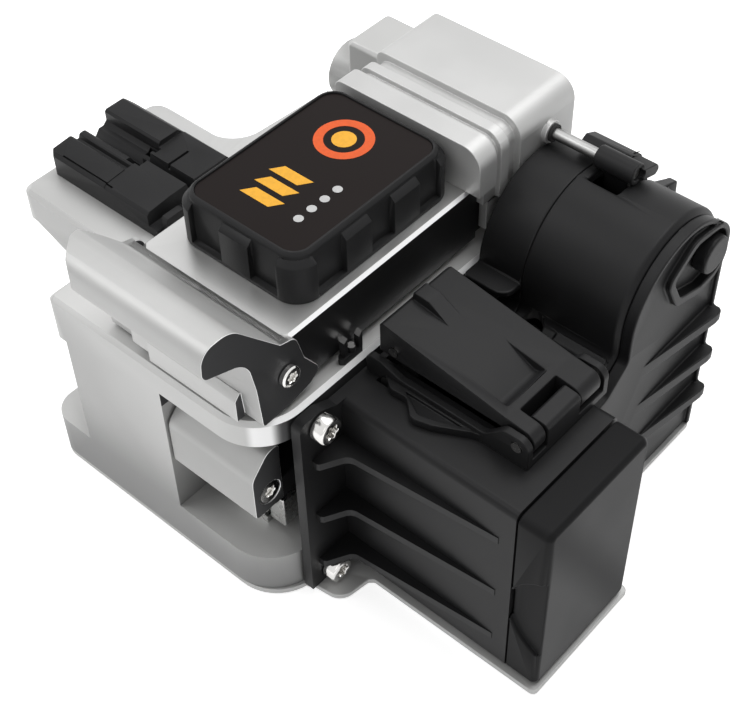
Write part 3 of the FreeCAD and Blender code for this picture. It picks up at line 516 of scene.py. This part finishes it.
def printed(name, outlines, finish):
    """Flat printed shapes on the plate: outlines in mm from the plate's middle."""
    centre, _, high = middle("cap_badge")
    ink_height = high.z + 0.03 * MM
    mesh = bpy.data.meshes.new(name)
    form = bmesh.new()
    for outline in outlines:
        form.faces.new([form.verts.new((centre.x + x * MM, centre.y + y * MM, ink_height))
                        for x, y in outline])
    bmesh.ops.recalc_face_normals(form, faces=form.faces)
    form.to_mesh(mesh)
    form.free()
    mesh.materials.append(finish)
    piece = bpy.data.objects.new(name, mesh)
    bpy.context.scene.collection.objects.link(piece)
    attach(piece, "lever")


def arc(x, y, radius, start, end, count):
    """Points on a circle from one angle to another, in degrees."""
    angles = [math.radians(start + (end - start) * k / count) for k in range(count + 1)]
    return [(x + radius * math.cos(a), y + radius * math.sin(a)) for a in angles]


def full_ring(x, y, radius, width):
    """A ring as two halves, because a face can't have a hole."""
    return [arc(x, y, radius, start, start + 180, 24) +
            arc(x, y, radius - width, start + 180, start, 24) for start in (0, 180)]


def disc(x, y, radius):
    return arc(x, y, radius, 0, 360, 24)[:-1]


def slanted(x, y, width, height, lean):
    return [(x, y), (x + width, y), (x + width + lean, y + height), (x + lean, y + height)]


amber = ink("amber_ink", (0.90, 0.44, 0.02))
rust = ink("orange_ink", (0.80, 0.10, 0.003))
pale = ink("grey_ink", (0.58, 0.58, 0.58))
printed("plate_stripes", [slanted(-5.0, -10.4 + 3.0 * k, 5.6, 2.0, 1.4) for k in range(3)], amber)
printed("plate_ring", full_ring(-1.2, 7.6, 4.6, 1.5), rust)
printed("plate_disc", [disc(-1.2, 7.6, 1.9)], amber)
printed("plate_dots", [disc(5.6, -9.4 + 2.7 * k, 0.75) for k in range(4)], pale)


# Bench, light and camera, as in a small product studio: white paper, three
# soft lamps, and the camera solved from the photo's own perspective.

def backdrop_rays(wire):
    """1 for the rays that show the backdrop: straight, mirrored or through clear plastic."""
    total = 0.0
    for ray in ("Is Camera Ray", "Is Glossy Ray", "Is Transmission Ray"):
        total = total + wire.node("ShaderNodeLightPath", {}, {}, output=ray)
    return wire.sum("MINIMUM", total, 1.0)


def bench():
    half_side = 3.0
    glow = 0.72
    mesh = bpy.data.meshes.new("bench_top")
    form = bmesh.new()
    bmesh.ops.create_grid(form, x_segments=1, y_segments=1, size=half_side)
    form.to_mesh(mesh)
    form.free()
    top = bpy.data.objects.new("bench_top", mesh)
    bpy.context.scene.collection.objects.link(top)
    material, shader, place = new_finish("bench_paper")
    shader.inputs["Base Color"].default_value = (0.72, 0.72, 0.72, 1.0)
    shader.inputs["Roughness"].default_value = 0.9
    link(shader, "Emission Strength", backdrop_rays(place) * glow)
    shader.inputs["Emission Color"].default_value = (1.0, 1.0, 1.0, 1.0)
    mesh.materials.append(material)


def lamp(name, place, size, power):
    """A round soft lamp that looks at the middle of the part."""
    target = Vector((0.0, 0.0, 0.03))
    light = bpy.data.lights.new(name, "AREA")
    light.shape = "DISK"
    light.size = size
    light.energy = power
    holder = bpy.data.objects.new(name, light)
    bpy.context.scene.collection.objects.link(holder)
    holder.location = place
    holder.rotation_euler = (target - Vector(place)).to_track_quat("-Z", "Y").to_euler()


def sky():
    world = bpy.data.worlds.new("studio")
    bpy.context.scene.world = world
    world.use_nodes = True
    tree = world.node_tree
    back = tree.nodes["Background"]
    wire = Wire(tree, tree.nodes.new("ShaderNodeTexCoord").outputs["Generated"])
    dark = wire.axis("X").smooth(0.05, 0.75)
    tone = dark.mix((0.55, 0.55, 0.55, 1.0), (0.02, 0.02, 0.02, 1.0))
    seen = backdrop_rays(wire).mix(tone, (1.0, 1.0, 1.0, 1.0))
    tree.links.new(seen.socket, back.inputs["Color"])
    back.inputs["Strength"].default_value = 1.0


def camera():
    focal_pixels = 1478.4
    image_width = 745.0
    place = Vector((0.11415, -0.1195, 0.200))
    azimuth = math.radians(42.54)
    elevation = math.radians(47.16)
    roll = math.radians(1.69)
    back = Vector((math.sin(azimuth) * math.cos(elevation),
                   -math.cos(azimuth) * math.cos(elevation), math.sin(elevation)))
    level = (-back).cross(Vector((0, 0, 1))).normalized()
    down = (-back).cross(level)
    right = level * math.cos(roll) + down * math.sin(roll)
    up = level * math.sin(roll) - down * math.cos(roll)
    data = bpy.data.cameras.new("camera")
    data.sensor_width = 36.0
    data.lens = focal_pixels / image_width * data.sensor_width
    data.clip_start = 0.01
    eye = bpy.data.objects.new("camera", data)
    bpy.context.scene.collection.objects.link(eye)
    turn = Matrix((right, up, back)).transposed().to_4x4()
    eye.matrix_world = Matrix.Translation(place) @ turn
    bpy.context.scene.camera = eye


bench()
sky()
lamp("key", (-0.35, -0.25, 0.55), 0.4, 1.0)
lamp("top", (0.05, 0.2, 0.6), 0.5, 2.0)
lamp("fill", (0.35, -0.35, 0.4), 0.4, 0.15)
camera()
bpy.context.scene.view_settings.view_transform = "Standard"
